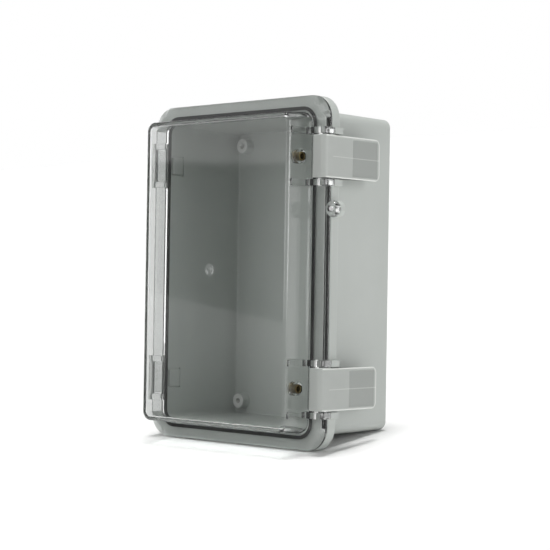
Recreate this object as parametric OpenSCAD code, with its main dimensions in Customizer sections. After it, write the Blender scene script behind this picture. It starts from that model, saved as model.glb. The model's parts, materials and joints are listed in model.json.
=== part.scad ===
// Plastic distribution box with a hinged clear cover and two lever latches.
// Origin at the middle of the wall face, +Z up, the cover faces -Y, the latches are on +X.

/* [Base box] */
// Width over the flange
flange_w = 125; // [115:1:200]
// Height over the flange
flange_h = 175; // [165:1:260]
// Corner radius of the flange
flange_r = 12; // [10:0.5:16]
// Depth of the base from its wall face to its front face
base_d = 56; // [48:1:120]
// How far the flange stands out past the body at its sides
rim = 8.2; // [7.5:0.1:12]
// How far the flange stands out past the body at its top and bottom
rim_end = 6.9; // [6:0.1:12]
// Thickness of the base flange
base_flange_t = 5.8; // [4.5:0.1:8]
// How far the flange stands out past the body on the hinge side
hinge_rim = 0.3; // [0.2:0.1:1]
// Corner radius of the body
body_r = 5; // [5:0.5:10]
// Thickness of the body walls
wall = 2.5; // [2:0.1:4]
// Thickness of the wall plate at the back
back_t = 3; // [2:0.1:5]

/* [Fixing posts] */
// Radius of a fixing post
post_r = 4; // [3:0.1:5]
// Height of a fixing post above the wall plate
post_h = 5; // [3:0.5:12]
// Radius of the screw hole in a fixing post
post_hole_r = 1.5; // [1:0.1:2]
// Distance of the posts from the side walls
post_side = 6.8; // [5.5:0.1:12]
// Distance of the posts from the end walls
post_end = 7.5; // [5.5:0.1:12]

/* [Cover] */
// Thickness of the cover flange
cover_flange_t = 2.6; // [2.2:0.1:4]
// Rounding of the front edge of the cover flange
cover_edge = 1.8; // [0.8:0.1:2]
// Gap between the cover flange and the base flange
cover_gap = 0.4; // [0.3:0.05:0.8]
// Height of the raised window in front of the cover flange
window_h = 16; // [13:0.5:30]
// Margin from the flange side to the foot of the window
window_side = 10.5; // [10.4:0.1:16]
// Margin from the flange end to the foot of the window
window_end = 8.2; // [7:0.1:16]
// How much the window narrows on each side towards its front
window_draft = 1.2; // [0.5:0.1:2]
// Corner radius at the foot of the window
window_r = 6; // [5:0.5:9]
// Rounding of the front edge of the window
window_edge = 1; // [0.8:0.1:2]
// Wall thickness of the window
window_wall = 1.8; // [1.6:0.1:3]

/* [Gasket] */
// How far the gasket reaches past the foot of the window at the sides
gasket_side = 1.8; // [1.6:0.1:2]
// How far the gasket reaches past the foot of the window at the ends
gasket_end = 3; // [2.8:0.1:3.4]
// Width of the gasket
gasket_w = 1.8; // [1.5:0.1:1.9]
// Thickness of the gasket
gasket_t = 1.4; // [1.1:0.1:1.9]

/* [Latches] */
// Distance from the flange end to the middle of a latch or hinge
latch_end = 30.7; // [28:0.1:38]
// Height of a latch
latch_h = 21; // [16:0.5:24]
// Length of the latch lever behind the cover flange front
latch_reach = 37.2; // [28:0.1:42]
// Thickness of the latch leg
leg_t = 1.7; // [1.4:0.1:2.4]
// Clearance between the flange and a latch leg or hinge strap
leg_clear = 0.3; // [0.2:0.05:0.6]
// Rounding of the front corner of a latch
latch_corner = 3; // [2:0.1:3.4]
// Rounding of the inner front edge of a latch
latch_nose = 1.2; // [1:0.1:2]
// Rounding of the lever end
lever_r = 3.5; // [2:0.1:5]
// Radius of the latch barrel round its pin
latch_barrel_r = 2.8; // [2.4:0.1:3]
// Distance of the latch pin inside the flange side
latch_pin_in = 3.5; // [3:0.1:3.8]
// Distance of the cover pins in front of the cover flange
pin_out = 1.8; // [1.6:0.1:2.2]
// Radius of the latch and hinge pins
pin_r = 1; // [0.8:0.05:1.2]
// Radial clearance round the pins
pin_clear = 0.05; // [0.03:0.01:0.08]
// How far the latch hook reaches behind the base flange
hook_in = 1.3; // [0.8:0.1:1.5]
// Clearance between the hook and the base flange
hook_gap = 0.6; // [0.5:0.05:1]
// Thickness of the latch hook
hook_t = 2; // [1.5:0.1:3]
// Length of the thumb recess on the lever
thumb_l = 20; // [12:0.5:24]
// Depth of the thumb recess
thumb_depth = 0.4; // [0.2:0.05:0.6]
// Width of the raised border round the thumb recess
thumb_border = 1.2; // [0.8:0.1:2]
// Thickness of the ribs beside each latch and hinge
rib_t = 3.2; // [2:0.1:4]
// Clearance between a latch and the ribs beside it
rib_clear = 0.6; // [0.5:0.1:1.5]

/* [Hinges] */
// Distance of the cover pin inside the flange side
hinge_pin_in = 0.9; // [0.7:0.1:1]
// How far a hinge strap stands out past the flange side
strap_out = 0.9; // [0.7:0.1:1.2]
// Height of a hinge strap
strap_h = 16.6; // [12:0.2:22]
// Thickness of a hinge strap
strap_t = 1.5; // [1.2:0.1:2]
// Radius of the strap barrel at the base
strap_rear_r = 2.6; // [2.2:0.1:3]
// Clearance between a hinge strap and the ribs beside it
strap_clear = 0.3; // [0.2:0.05:0.6]
// Distance of the hinge pad inside the box behind the base front
pad_in = 2; // [1:0.1:4]
// Length of the hinge pad inside the box
pad_l = 7.3; // [5:0.1:10]
// Height of the hinge pad inside the box
pad_h = 9; // [6:0.5:12]
// Thickness of the hinge pad inside the box
pad_t = 0.8; // [0.4:0.1:1]

/* [Seal lug] */
// Height of the seal lug above the middle of the box
lug_z = 31.3; // [20:0.1:36]
// Radius of the seal lug
lug_r = 4.1; // [3.5:0.1:5]
// Thickness of the seal lug on the base
lug_t = 3; // [2:0.1:4.4]
// Distance of the lug centre outside the flange side
lug_out = 2.3; // [1.6:0.1:2.4]
// Radius of the seal wire hole
lug_hole_r = 1; // [0.8:0.1:1.4]

/* [Threaded inserts] */
// Outer radius of an insert
insert_r = 2.3; // [2:0.05:3]
// Radius of the threaded hole
insert_hole_r = 1.25; // [1:0.05:1.5]
// Length of an insert
insert_l = 5; // [4:0.1:8]
// Distance of the inserts in front of the cover flange
insert_out = 6.5; // [6:0.1:7]
// Thickness of the boss round an insert
boss_wall = 1.2; // [1:0.1:1.6]

/* [Hidden] */
$fn = 64;
hull_fn = 32;
over = 1;
seat_clear = 0.05;
flat_clear = 0.3;

// Depth stations along Y, from the wall plate forward
base_front = -base_d;
base_flange_back = base_front + base_flange_t;
cover_back = base_front - cover_gap;
cover_front = cover_back - cover_flange_t;
window_front = cover_front - window_h;
pin_y = cover_front - pin_out;
latch_front = pin_y - latch_barrel_r;
latch_rear = cover_front + latch_reach;
insert_y = cover_front - insert_out;

// Widths and heights of the base and the cover
half_w = flange_w / 2;
half_h = flange_h / 2;
body_w = flange_w - 2 * rim;
body_h = flange_h - 2 * rim_end;
room_w = body_w - 2 * wall;
room_h = body_h - 2 * wall;
room_r = body_r - wall;
foot_w = flange_w - 2 * window_side;
foot_h = flange_h - 2 * window_end;
gasket_ow = foot_w + 2 * gasket_side;
gasket_oh = foot_h + 2 * gasket_end;
gasket_r = window_r + gasket_end;
straight_z = half_h - flange_r;
hinge_side_x = -(body_w / 2 + hinge_rim);

// A latch and a hinge at each end, each between a pair of ribs or ears
latch_z = half_h - latch_end;
rib_from = latch_h / 2 + rib_clear;
rib_to = rib_from + rib_t;
ear_from = strap_h / 2 + strap_clear;
ear_to = ear_from + rib_t;
leg_in_x = half_w + leg_clear;
leg_out_x = leg_in_x + leg_t;
latch_x = half_w - latch_pin_in;
pin_bore_r = pin_r + pin_clear;
rib_front = pin_y - strap_rear_r;
nose_reach = (latch_barrel_r - latch_nose) * sqrt(2) + latch_nose;

// Hinge pins on the -X side
hinge_x = -(half_w - hinge_pin_in);
strap_out_x = -(half_w + strap_out);
strap_in_x = strap_out_x + strap_t;
strap_front_r = hinge_x - strap_out_x;
hinge_y = cover_back - strap_front_r;
strap_rear_x = strap_out_x + strap_rear_r;
strap_rear_y = base_flange_back + flat_clear + strap_rear_r;

// Inserts sit flush with the drafted wall of the window
draft_at_insert = window_draft * insert_out / window_h;
insert_x = foot_w / 2 - draft_at_insert - seat_clear;
boss_r = insert_r + boss_wall;
lug_x = half_w + lug_out;
post_x = room_w / 2 - post_side;
post_z = room_h / 2 - post_end;

// Flat rounded rectangle, w by h with corner radius r
module rounded_rect(w, h, r) {
    square([w - 2 * r, h], center = true);
    square([w, h - 2 * r], center = true);
    for (x = [-1, 1], y = [-1, 1])
        translate([x * (w / 2 - r), y * (h / 2 - r)])
            circle(r);
}

// Upright plate of w by h with rounded corners, from one Y station back to another
module plate(w, h, r, front, back) {
    translate([0, back, 0])
        rotate([90, 0, 0])
            linear_extrude(back - front)
                rounded_rect(w, h, r);
}

// Profile in X and Y raised between two heights
module raised(low, high) {
    translate([0, 0, low])
        linear_extrude(high - low)
            children();
}

// Profile in Y and Z given thickness between two X stations
module sideways(from, to) {
    translate([from, 0, 0])
        rotate([90, 0, 90])
            linear_extrude(to - from)
                children();
}

// Round bar or bore along Y
module along_y(x, z, r, front, back) {
    translate([x, back, z])
        rotate([90, 0, 0])
            cylinder(r = r, h = back - front);
}

// Round bar or bore along X
module along_x(y, z, r, from, to) {
    translate([from, y, z])
        rotate([0, 90, 0])
            cylinder(r = r, h = to - from);
}

// Pin or pin bore along Z through a pair of ribs
module along_z(x, y, middle, r, length) {
    translate([x, y, middle - length / 2])
        cylinder(r = r, h = length);
}

// Rectangle in X and Y given by its corners
module block(x1, x2, y1, y2) {
    translate([x1, y1])
        square([x2 - x1, y2 - y1]);
}

// Both ribs beside the latch or hinge at one height, from a distance outwards
module rib_pair(middle, from) {
    for (side = [-1, 1])
        raised(middle + side * (from + rib_t / 2) - rib_t / 2,
               middle + side * (from + rib_t / 2) + rib_t / 2)
            children();
}

// Drafted block with a rounded front edge, from a foot to a front station
module drafted(w, h, r, draft, edge, foot, front) {
    shoulder = draft * (1 - edge / (foot - front));
    slant = edge * (1 - sqrt(0.5));
    hull($fn = hull_fn) {
        plate(w, h, r, foot - seat_clear, foot);
        plate(w - 2 * shoulder, h - 2 * shoulder, r - shoulder,
              front + edge, front + edge + seat_clear);
        plate(w - 2 * (shoulder + slant), h - 2 * (shoulder + slant), r - shoulder - slant,
              front + slant, front + slant + seat_clear);
        plate(w - 2 * (shoulder + edge), h - 2 * (shoulder + edge), r - shoulder - edge,
              front, front + seat_clear);
    }
}

// Ear profile of the base that holds the rear end of a hinge strap
module base_ear() {
    block(strap_rear_x, -body_w / 2 + wall / 2, strap_rear_y - strap_rear_r, strap_rear_y + strap_rear_r);
    translate([strap_rear_x, strap_rear_y])
        circle(strap_rear_r);
}

// Ear profile of the cover round the hinge pin
module cover_ear() {
    block(hinge_x, -foot_w / 2 + window_wall / 2, hinge_y - strap_front_r, cover_back);
    translate([hinge_x, hinge_y])
        circle(strap_front_r);
}

// Rib profile of the cover round the latch pin, carried on up the side of the window
module cover_rib() {
    corner = strap_rear_r;
    block(foot_w / 2 - (window_wall + window_draft) / 2, foot_w / 2,
          window_front + window_edge, cover_front);
    block(foot_w / 2 - window_wall / 2, leg_out_x - corner, rib_front, cover_back);
    block(leg_out_x - corner, leg_out_x, rib_front + corner, cover_back);
    translate([leg_out_x - corner, rib_front + corner])
        circle(corner);
}

// Base: tray with a flange cut back on the hinge side, ribs, hinge ears, seal lug and fixing posts
module base_box() {
    color([0.73, 0.75, 0.73])
        difference() {
            union() {
                difference() {
                    union() {
                        plate(body_w, body_h, body_r, base_front, 0);
                        plate(flange_w, flange_h, flange_r, base_front, base_flange_back);
                    }
                    plate(room_w, room_h, room_r, base_front - over, -back_t);
                    raised(-straight_z, straight_z)
                        block(-half_w - over, hinge_side_x, base_front - over, base_flange_back + over);
                }
                for (end = [-1, 1]) {
                    rib_pair(end * latch_z, rib_from)
                        block(half_w - over, leg_out_x, base_front, base_flange_back);
                    rib_pair(end * latch_z, ear_from)
                        base_ear();
                    raised(end * latch_z - pad_h / 2, end * latch_z + pad_h / 2)
                        block(-room_w / 2 - wall / 2, -room_w / 2 + pad_t,
                              base_front + pad_in, base_front + pad_in + pad_l);
                }
                along_y(lug_x, lug_z, lug_r, base_front, base_front + lug_t);
                for (x = [-1, 1], z = [-1, 1])
                    along_y(x * post_x, z * post_z, post_r, -back_t - post_h, -back_t / 2);
            }
            along_y(lug_x, lug_z, lug_hole_r, base_front - over, base_front + lug_t + over);
            for (x = [-1, 1], z = [-1, 1])
                along_y(x * post_x, z * post_z, post_hole_r, -back_t - post_h - over, -back_t);
            for (end = [-1, 1])
                along_z(strap_rear_x, strap_rear_y, end * latch_z, pin_bore_r, 2 * (ear_to + over));
        }
}

// Clear cover: flange and raised window in one moulding, open at the back
module cover() {
    color([0.85, 0.88, 0.88, 0.35])
        difference() {
            union() {
                drafted(flange_w, flange_h, flange_r, 0, cover_edge, cover_back, cover_front);
                drafted(foot_w, foot_h, window_r, window_draft, window_edge, cover_front, window_front);
                for (end = [-1, 1]) {
                    rib_pair(end * latch_z, rib_from) cover_rib();
                    rib_pair(end * latch_z, ear_from) cover_ear();
                }
                along_y(lug_x, lug_z, lug_r, cover_front, cover_back);
            }
            difference() {
                drafted(foot_w - 2 * window_wall, foot_h - 2 * window_wall, window_r - window_wall,
                        window_draft, window_edge, cover_back + over, window_front + window_wall);
                for (end = [-1, 1])
                    along_x(insert_y, end * latch_z, boss_r, insert_x - insert_l, insert_x);
            }
            gasket_ring(seat_clear);
            along_y(lug_x, lug_z, lug_hole_r, cover_front - over, cover_back + over);
            for (end = [-1, 1]) {
                along_x(insert_y, end * latch_z, insert_r + seat_clear,
                        insert_x - insert_l - over, insert_x + over);
                along_z(latch_x, pin_y, end * latch_z, pin_bore_r, 2 * (rib_to + over));
                along_z(hinge_x, hinge_y, end * latch_z, pin_bore_r, 2 * (ear_to + over));
                along_z(latch_x, pin_y, end * latch_z, nose_reach + flat_clear, 2 * rib_from);
                along_z(hinge_x, hinge_y, end * latch_z, strap_front_r + flat_clear, 2 * ear_from);
                raised(end * latch_z - ear_from, end * latch_z + ear_from)
                    block(-half_w - over, strap_in_x + leg_clear, cover_front - over, cover_back + over);
            }
        }
}

// Ring of the gasket, or of its groove when given a clearance
module gasket_ring(clear) {
    difference() {
        plate(gasket_ow + 2 * clear, gasket_oh + 2 * clear, gasket_r + clear,
              base_front - gasket_t, base_front);
        plate(gasket_ow - 2 * gasket_w - 2 * clear, gasket_oh - 2 * gasket_w - 2 * clear,
              gasket_r - gasket_w - clear, base_front - gasket_t - over, base_front + over);
    }
}

// Soft gasket in the groove of the cover, standing proud to meet the base
module gasket() {
    color([0.16, 0.17, 0.16])
        gasket_ring(0);
}

// Latch profile in X and Y: barrel, front block, leg and hook
module latch_section() {
    corner_x = leg_out_x - latch_corner;
    corner_y = latch_front + latch_corner;
    block_back = cover_front - flat_clear;
    nose_x = latch_x - latch_barrel_r + latch_nose;
    translate([latch_x, pin_y])
        circle(latch_barrel_r);
    translate([nose_x, latch_front + latch_nose])
        circle(latch_nose);
    block(latch_x - latch_barrel_r, nose_x, latch_front + latch_nose, pin_y);
    block(nose_x, corner_x, latch_front, pin_y);
    block(latch_x, corner_x, pin_y, block_back);
    intersection() {
        translate([corner_x, corner_y])
            circle(latch_corner);
        block(corner_x, leg_out_x, latch_front, corner_y);
    }
    block(corner_x, leg_out_x, corner_y, block_back);
    block(leg_in_x, leg_out_x, corner_y, latch_rear - 2 * lever_r);
}

// Hook profile behind the base flange, ramped so that the latch can snap shut
module hook_section() {
    hook_front = base_flange_back + hook_gap;
    tip_x = half_w - hook_in;
    polygon([
        [leg_out_x - leg_t / 2, hook_front],
        [tip_x, hook_front],
        [tip_x, hook_front + hook_t / 2],
        [leg_in_x, hook_front + hook_t],
        [leg_out_x - leg_t / 2, hook_front + hook_t]
    ]);
}

// Lever latch that turns on its pin and hooks behind the base flange
module latch(middle) {
    color([0.71, 0.73, 0.70])
        difference() {
            union() {
                raised(middle - latch_h / 2, middle + latch_h / 2)
                    latch_section();
                raised(middle - latch_h / 2 + lever_r, middle + latch_h / 2 - lever_r)
                    hook_section();
                sideways(leg_in_x, leg_out_x)
                    translate([latch_rear - 2 * lever_r, middle])
                        rounded_rect(4 * lever_r, latch_h, lever_r);
            }
            along_z(latch_x, pin_y, middle, pin_bore_r, latch_h + 2 * over);
            sideways(leg_out_x - thumb_depth, leg_out_x + over)
                translate([latch_rear - thumb_border - thumb_l / 2, middle])
                    rounded_rect(thumb_l, latch_h - 2 * thumb_border, lever_r - thumb_border);
        }
}

// Steel pin through a pair of ribs, given half its length
module pin(x, y, middle, half) {
    color([0.75, 0.76, 0.78])
        along_z(x, y, middle, pin_r, 2 * half);
}

// Hinge strap: two barrels on a leg that wraps the side of the flange
module hinge_strap(middle) {
    color([0.85, 0.88, 0.88, 0.35])
        difference() {
            raised(middle - strap_h / 2, middle + strap_h / 2) {
                translate([hinge_x, hinge_y])
                    circle(strap_front_r);
                translate([strap_rear_x, strap_rear_y])
                    circle(strap_rear_r);
                block(strap_out_x, strap_in_x, hinge_y, strap_rear_y);
            }
            along_z(hinge_x, hinge_y, middle, pin_bore_r, strap_h + 2 * over);
            along_z(strap_rear_x, strap_rear_y, middle, pin_bore_r, strap_h + 2 * over);
        }
}

// Brass insert with a threaded hole, moulded into the side of the window
module insert(middle) {
    color([0.72, 0.55, 0.25])
        difference() {
            along_x(insert_y, middle, insert_r, insert_x - insert_l, insert_x);
            along_x(insert_y, middle, insert_hole_r, insert_x - insert_l - over, insert_x + over);
        }
}

module latch_upper() { latch(latch_z); }
module latch_lower() { latch(-latch_z); }
module latch_pin_upper() { pin(latch_x, pin_y, latch_z, rib_to); }
module latch_pin_lower() { pin(latch_x, pin_y, -latch_z, rib_to); }
module hinge_strap_upper() { hinge_strap(latch_z); }
module hinge_strap_lower() { hinge_strap(-latch_z); }
module hinge_cover_pin_upper() { pin(hinge_x, hinge_y, latch_z, ear_to); }
module hinge_cover_pin_lower() { pin(hinge_x, hinge_y, -latch_z, ear_to); }
module hinge_base_pin_upper() { pin(strap_rear_x, strap_rear_y, latch_z, ear_to); }
module hinge_base_pin_lower() { pin(strap_rear_x, strap_rear_y, -latch_z, ear_to); }
module insert_upper() { insert(latch_z); }
module insert_lower() { insert(-latch_z); }

base_box();
cover();
gasket();
latch_upper();
latch_lower();
latch_pin_upper();
latch_pin_lower();
hinge_strap_upper();
hinge_strap_lower();
hinge_cover_pin_upper();
hinge_cover_pin_lower();
hinge_base_pin_upper();
hinge_base_pin_lower();
insert_upper();
insert_lower();
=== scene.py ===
"""Looks of a plastic distribution box: grey tray, clear hinged cover, lever latches, hinges and seal."""
import json
from math import pi, radians, sqrt

import bmesh
import bpy
import numpy as np
from bpy.props import FloatProperty, FloatVectorProperty, PointerProperty
from mathutils import Euler, Matrix, Vector


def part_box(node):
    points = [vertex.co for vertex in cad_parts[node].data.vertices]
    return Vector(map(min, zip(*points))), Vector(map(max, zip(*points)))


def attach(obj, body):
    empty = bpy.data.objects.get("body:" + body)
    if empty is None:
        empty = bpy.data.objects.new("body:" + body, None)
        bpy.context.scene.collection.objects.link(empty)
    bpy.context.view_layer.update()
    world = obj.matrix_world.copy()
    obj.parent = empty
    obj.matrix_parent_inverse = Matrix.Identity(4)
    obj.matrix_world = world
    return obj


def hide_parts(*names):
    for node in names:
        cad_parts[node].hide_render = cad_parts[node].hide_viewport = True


bl_info = {
    "name": "Distribution Box",
    "version": (1, 0, 0),
    "blender": (4, 5, 0),
    "location": "3D View > Sidebar > Box",
    "description": "Builds a plastic distribution box with a clear hinged cover and two lever latches",
    "category": "Add Mesh",
}

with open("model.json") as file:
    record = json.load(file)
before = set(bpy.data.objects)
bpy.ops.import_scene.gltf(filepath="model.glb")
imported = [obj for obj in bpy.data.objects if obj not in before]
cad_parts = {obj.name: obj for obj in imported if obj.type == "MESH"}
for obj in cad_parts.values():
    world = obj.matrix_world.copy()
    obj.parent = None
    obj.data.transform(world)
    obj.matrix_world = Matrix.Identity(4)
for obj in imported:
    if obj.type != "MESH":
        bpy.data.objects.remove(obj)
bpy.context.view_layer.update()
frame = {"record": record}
MM = 0.001
ENDS = {"upper": 1, "lower": -1}
X_AXIS, Y_AXIS, Z_AXIS = range(3)
# Least length to divide by
TINY = 1e-12
# How far a joined shape stays back from a face that it would otherwise share
TUCK = 0.02 * MM
# How far a cut runs past the faces that it goes through
OVER = 1 * MM
# Width of the camera's sensor in millimetres
SENSOR = 36.0


def box_middle(node):
    """Middle of a node's box."""
    low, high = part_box(node)
    return (low + high) / 2


# Places and sizes that the frame gives
BASE_LOW, BASE_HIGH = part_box("base_box")
COVER_LOW, COVER_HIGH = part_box("cover")
GASKET_LOW, GASKET_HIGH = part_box("gasket")
LATCH_LOW, LATCH_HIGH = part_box("latch_upper")
STRAP_LOW, STRAP_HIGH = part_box("hinge_strap_upper")
INSERT_LOW, INSERT_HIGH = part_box("insert_upper")
INSERT_Y = (INSERT_LOW.y + INSERT_HIGH.y) / 2
INSERT_RADIUS = (INSERT_HIGH.z - INSERT_LOW.z) / 2
LATCH_PIN = box_middle("latch_pin_upper")
COVER_PIN = box_middle("hinge_cover_pin_upper")
BASE_PIN = box_middle("hinge_base_pin_upper")
RIB_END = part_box("latch_pin_upper")[1].z - LATCH_PIN.z
EAR_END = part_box("hinge_cover_pin_upper")[1].z - COVER_PIN.z
PIN_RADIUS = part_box("latch_pin_upper")[1].x - LATCH_PIN.x
MOUNTS = {mount["name"]: mount for mount in frame["record"]["mounts"]}
SEAL_HOLE = Vector(MOUNTS["seal_hole"]["pos_m"])
SEAL_LINE = (SEAL_HOLE.x, 0, SEAL_HOLE.z)


def length(name, description, default):
    """Property for one length in metres."""
    return FloatProperty(name=name, description=description, default=default, unit="LENGTH", precision=5)


def tint(name, description, default):
    """Property for one linear colour."""
    return FloatVectorProperty(name=name, description=description, default=default, subtype="COLOR",
                               size=3, min=0.0, max=1.0)


class BoxSizes(bpy.types.PropertyGroup):
    """Sizes of the moulded pieces that the frame's boxes don't give."""

    flange_half: length("Flange half width", "Half of the width over the flange", 62.5 * MM)
    flange_radius: length("Flange radius", "Corner radius of both flanges", 12 * MM)
    base_flange: length("Base flange", "Thickness of the base flange", 5.8 * MM)
    rim: length("Rim", "How far the flange stands out past the body at its sides", 8.2 * MM)
    rim_end: length("End rim", "How far the flange stands out past the body at its top and bottom", 6.9 * MM)
    hinge_rim: length("Hinge rim", "How far the flange stands out past the body on the hinge side", 0.3 * MM)
    body_radius: length("Body radius", "Corner radius of the body", 5 * MM)
    body_draft: length("Body draft", "How much the body narrows on each side towards the back", 0.4 * MM)
    body_edge: length("Body edge", "Rounding of the edge round the back", 1.4 * MM)
    wall: length("Wall", "Thickness of the body walls", 2.5 * MM)
    back: length("Back", "Thickness of the back", 3 * MM)
    soft_edge: length("Soft edge", "Rounding of the moulded edges", 0.5 * MM)
    post_radius: length("Post radius", "Radius of a fixing post", 4 * MM)
    post_height: length("Post height", "Height of a fixing post", 5 * MM)
    post_hole: length("Post hole", "Radius of the pilot hole in a post", 1.5 * MM)
    post_side: length("Post side", "Distance of the posts from the side walls", 6.8 * MM)
    post_end: length("Post end", "Distance of the posts from the end walls", 7.5 * MM)
    cover_flange: length("Cover flange", "Thickness of the cover flange", 2.6 * MM)
    cover_edge: length("Cover edge", "Bevel of the front edge of the cover flange", 1.8 * MM)
    window_side: length("Window side", "Margin from the flange side to the window's foot", 10.5 * MM)
    window_end: length("Window end", "Margin from the flange end to the window's foot", 8.2 * MM)
    window_draft: length("Window draft", "How much the window narrows towards its front", 1.2 * MM)
    window_radius: length("Window radius", "Corner radius at the window's foot", 6 * MM)
    window_edge: length("Window edge", "Rounding of the front edge of the window", 1.5 * MM)
    window_wall: length("Window wall", "Wall thickness of the window", 1.8 * MM)
    gate_radius: length("Gate radius", "Radius of the gate mark on the window", 2.8 * MM)
    gasket_radius: length("Gasket radius", "Outer corner radius of the gasket", 9 * MM)
    gasket_width: length("Gasket width", "Width of the gasket", 1.8 * MM)
    leg: length("Leg", "Thickness of a latch leg", 1.7 * MM)
    strap: length("Strap", "Thickness of a hinge strap", 1.5 * MM)
    latch_corner: length("Latch corner", "Rounding of the front corner of a latch", 3 * MM)
    latch_nose: length("Latch nose", "Rounding of the inner front edge of a latch", 1.2 * MM)
    lever_radius: length("Lever radius", "Corner rounding of the lever end", 3.5 * MM)
    hook_depth: length("Hook depth", "How far the hook reaches inwards from the leg", 1.6 * MM)
    hook_behind: length("Hook clearance", "Gap between the base flange and the hook", 0.6 * MM)
    hook: length("Hook", "Thickness of the hook", 2 * MM)
    thumb_length: length("Thumb length", "Length of the thumb recess", 20 * MM)
    thumb_border: length("Thumb border", "Width of the border round the thumb recess", 1.2 * MM)
    thumb_depth: length("Thumb depth", "Depth of the thumb recess", 0.4 * MM)
    rib: length("Rib", "Thickness of the ribs beside the latches and hinges", 3.2 * MM)
    rib_radius: length("Rib radius", "Rounding of the outer corner of a rib", 2.6 * MM)
    pad_in: length("Pad place", "Distance of a hinge pad behind the tray's front", 2 * MM)
    pad_length: length("Pad length", "Length of a hinge pad", 7.3 * MM)
    pad_half: length("Pad half height", "Half of the height of a hinge pad", 4.5 * MM)
    pad: length("Pad", "Thickness of a hinge pad inside the box", 0.8 * MM)
    pad_groove: length("Pad groove", "Width and depth of the groove round a hinge pad", 0.8 * MM)
    lug_radius: length("Lug radius", "Radius of the seal lug", 4.1 * MM)
    lug: length("Lug", "Thickness of the seal lug on the tray", 3 * MM)
    lug_rise: length("Lug rise", "How far the clear seal lug stands out from its flange", 0.3 * MM)
    lug_edge: length("Lug edge", "Rounding of the front edge of the clear seal lug", 2 * MM)
    lug_hole: length("Lug hole", "Radius of the seal wire hole", 1 * MM)
    insert_hole: length("Insert hole", "Radius of the threaded hole of an insert", 1.25 * MM)
    boss_wall: length("Boss wall", "Thickness of the boss round an insert", 1.2 * MM)
    relief: length("Relief", "Clearance of the cover from the latches and straps", 0.3 * MM)


class BoxColours(bpy.types.PropertyGroup):
    """Colours of the mouldings and fittings."""

    body: tint("Body", "Grey of the tray", (0.46, 0.49, 0.465))
    body_worn: tint("Body, light", "Grey of the tray where it is rubbed", (0.56, 0.585, 0.565))
    # Painted light: pale colour on the tops of the posts and in their pilot holes
    post_painted_light: tint("Post tops", "Pale grey of the tops of the posts", (0.78, 0.79, 0.77))
    dust: tint("Dust", "Colour of the dust on the tray", (0.68, 0.68, 0.65))
    latch: tint("Latch", "Grey of the latches", (0.425, 0.448, 0.428))
    # Random pale tone of the latches, and painted highlight along their edges and middle line
    latch_tone_and_highlight: tint("Latch, light", "Grey along the edges of the latches", (0.8, 0.82, 0.79))
    latch_dust: tint("Latch dust", "Colour of the dust on the latches", (0.7, 0.7, 0.66))
    clear: tint("Clear cover", "Tint of the clear moulding", (0.85, 0.857, 0.853))
    clear_shade: tint("Clear shade", "Lamp light that the clear moulding lets through", (0.66, 0.67, 0.665))
    gasket: tint("Gasket", "Dark grey of the seal", (0.016, 0.017, 0.016))
    steel: tint("Pins", "Colour of the steel pins", (0.88, 0.88, 0.87))
    brass: tint("Inserts", "Colour of the brass inserts", (0.2, 0.17, 0.085))
    brass_brown: tint("Inserts, brown", "Colour of the brass where it is browned", (0.1, 0.0714, 0.034))
    # Painted shade: near black in the thread, where the hole is in shade
    bore: tint("Bore", "Colour of the brass in the thread", (0.02, 0.016, 0.008))
    floor: tint("Floor", "Colour of the floor", (0.93, 0.93, 0.925))


class BoxStage(bpy.types.PropertyGroup):
    """Camera, floor and even light, as the box stands leaning on its flange and back edge."""

    aim: FloatVectorProperty(name="Aim", description="Point in the middle of the picture",
                             default=(15.2 * MM, -44.8 * MM, -1.1 * MM), subtype="TRANSLATION")
    distance: length("Distance", "Distance of the camera from the aim", 824 * MM)
    yaw: FloatProperty(name="Yaw", description="Turn of the view towards the latch side",
                       default=radians(42.99), subtype="ANGLE")
    pitch: FloatProperty(name="Pitch", description="Height of the camera above the box's own level",
                         default=radians(-0.42), subtype="ANGLE")
    roll: FloatProperty(name="Roll", description="Roll of the camera", default=radians(0.93),
                        subtype="ANGLE")
    lens: FloatProperty(name="Lens", description="Focal length of the camera", default=105.2,
                        unit="CAMERA")
    even_light: FloatProperty(name="Even light", description="Level of the light from all around",
                              default=0.12, min=0.0, max=1.0, subtype="FACTOR")
    floor_size: length("Floor size", "Side of the floor", 12.0)


# Surfaces as whole arrays

def smooth_step(values):
    """Soft step from 0 to 1: 3 v squared less 2 v cubed, held at both ends."""
    held = np.clip(values, 0, 1)
    return held * held * (3 - 2 * held)


def rounded(corners, radii, steps=5, closed=False):
    """Line through corners with each one rounded.

    A corner P with unit directions a and b to its neighbours and radius r becomes
    P + a r (1 - sin t) + b r (1 - cos t) for t from 0 to a quarter turn.
    A direction's length is taken from the first and the last column.
    """
    corners = np.asarray(corners, float)
    turn = np.linspace(0, pi / 2, steps + 1)[:, None]
    line = []
    for index, (corner, radius) in enumerate(zip(corners, radii)):
        inner = closed or 0 < index < len(corners) - 1
        if radius == 0 or not inner:
            line.append(corner[None])
            continue
        back = corners[index - 1] - corner
        ahead = corners[(index + 1) % len(corners)] - corner
        back = back / np.hypot(back[0], back[-1])
        ahead = ahead / np.hypot(ahead[0], ahead[-1])
        line.append(corner + back * radius * (1 - np.sin(turn)) + ahead * radius * (1 - np.cos(turn)))
    return np.concatenate(line)


def arc(centre, radius, start, end, steps=16):
    """Round stretch of an outline: centre + radius (cos, sin) from one angle in degrees to another."""
    turn = np.radians(np.linspace(start, end, steps + 1))
    return np.column_stack([centre[0] + radius * np.cos(turn), centre[1] + radius * np.sin(turn)])


def refined(outline, spacing):
    """Closed outline with points added on its straight stretches, read off at even steps of its length."""
    loop = np.vstack([outline, outline[:1]])
    run = np.concatenate([[0], np.cumsum(np.hypot(*np.diff(loop, axis=0).T))])
    digits, closing = 7, 1e-6
    stops = np.unique(np.round(np.concatenate([run[:-1], np.arange(0, run[-1], spacing)]), digits))
    stops = stops[stops < run[-1] - closing]
    return np.column_stack([np.interp(stops, run, loop[:, 0]), np.interp(stops, run, loop[:, 1])])


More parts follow.
